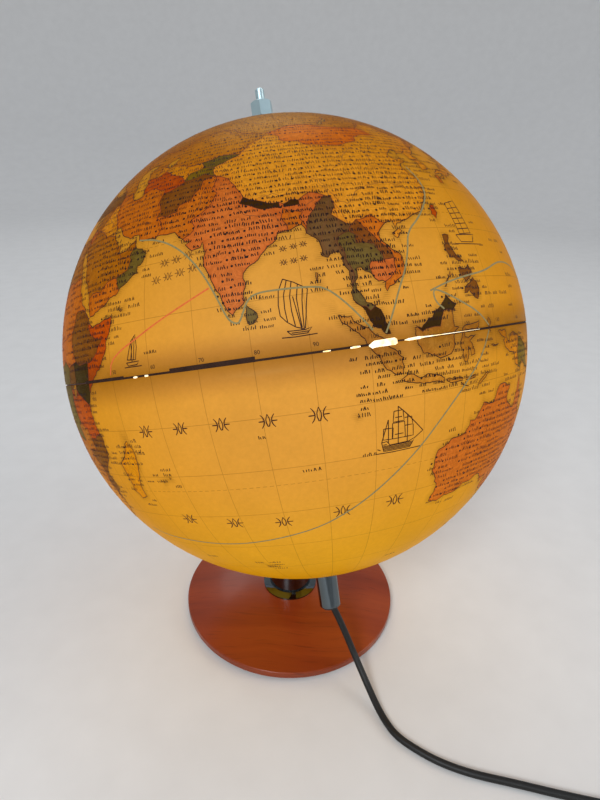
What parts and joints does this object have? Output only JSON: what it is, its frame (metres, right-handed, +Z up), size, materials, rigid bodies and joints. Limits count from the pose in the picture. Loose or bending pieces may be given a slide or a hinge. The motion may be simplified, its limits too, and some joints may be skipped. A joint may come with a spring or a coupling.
{
  "type": "desktop globe",
  "caption": "Lit desktop globe: a translucent printed ball turns on a leaning axis held by a half-ring arm, on a turned metal stem and a round wooden base, with a switched mains cord.",
  "frame": {"origin": "centre of the base's underside, on the table", "axes": "+Z up; the axis leans towards +Y with the arm behind, and -Y is the front that the lamp's tube and the cord leave from"},
  "size_m": [0.3907, 0.5549, 0.3884],
  "materials": {
    "wood": "satin lacquered light wood",
    "ballast_steel": "black oxide",
    "felt": "felt",
    "zinc_steel": "zinc plated",
    "chrome": "polished",
    "black_plastic": "moulded, fine grain",
    "nylon": "natural nylon",
    "holder_plastic": "moulded thermoplastic",
    "brass": "plain",
    "nickel_brass": "nickel plated",
    "bulb_metal": "drawn",
    "bulb_glass": "frosted",
    "filament_glass": "clear",
    "cord_black": "satin round mains cord",
    "tie_plastic": "soft strap",
    "rocker_plastic": "smooth",
    "ring_plastic": "moulded",
    "globe_print": "printed map, translucent, lit from inside"
  },
  "bodies": {
    "stand": {"base_disc": "wood", "ballast_plate": "ballast_steel", "base_felt": "felt", "base_washer": "zinc_steel", "base_bolt": "zinc_steel", "stem_column": "chrome", "meridian_arm": "chrome", "arm_screw": "zinc_steel", "lamp_tube": "zinc_steel", "axis_sleeve": "chrome", "cord_bushing": "black_plastic", "tube_lock_nut": "zinc_steel", "south_thrust_washer": "nylon", "north_pivot_rod": "chrome", "north_thrust_washer": "nylon", "finial_washer": "chrome", "finial_nut": "chrome", "lampholder_cap": "holder_plastic", "lampholder_body": "holder_plastic", "lampholder_contact": "brass", "lampholder_screw_shell": "brass", "bulb_cap": "bulb_metal", "bulb_glass": "bulb_glass", "bulb_filament_mount": "filament_glass", "lamp_lead": "cord_black", "power_cord": "cord_black", "cord_coil": "cord_black", "cord_tie": "tie_plastic", "switch_lower_housing": "black_plastic", "switch_upper_housing": "black_plastic", "switch_screws": "zinc_steel", "switch_contacts": "brass", "plug_body": "black_plastic", "plug_pins": "nickel_brass"},
    "globe": {"northern_hemisphere": "globe_print", "southern_hemisphere": "globe_print", "equator_joint_ring": "ring_plastic", "north_bearing_cap": "ring_plastic", "south_bearing_cap": "ring_plastic"},
    "rocker": {"switch_rocker": "rocker_plastic"}
  },
  "joints": [
    {"name": "globe_spin", "type": "hinge", "parent": "stand", "child": "globe", "pos_m": [0, 0, 0.225], "axis": [0, 0.3987, 0.9171], "continuous": true},
    {"name": "rocker_rock", "type": "hinge", "parent": "stand", "child": "rocker", "pos_m": [0.15235, -0.2668, 0.0122], "axis": [-0.6281, -0.7782, 0], "range_deg": [0, 16]}
  ]
}
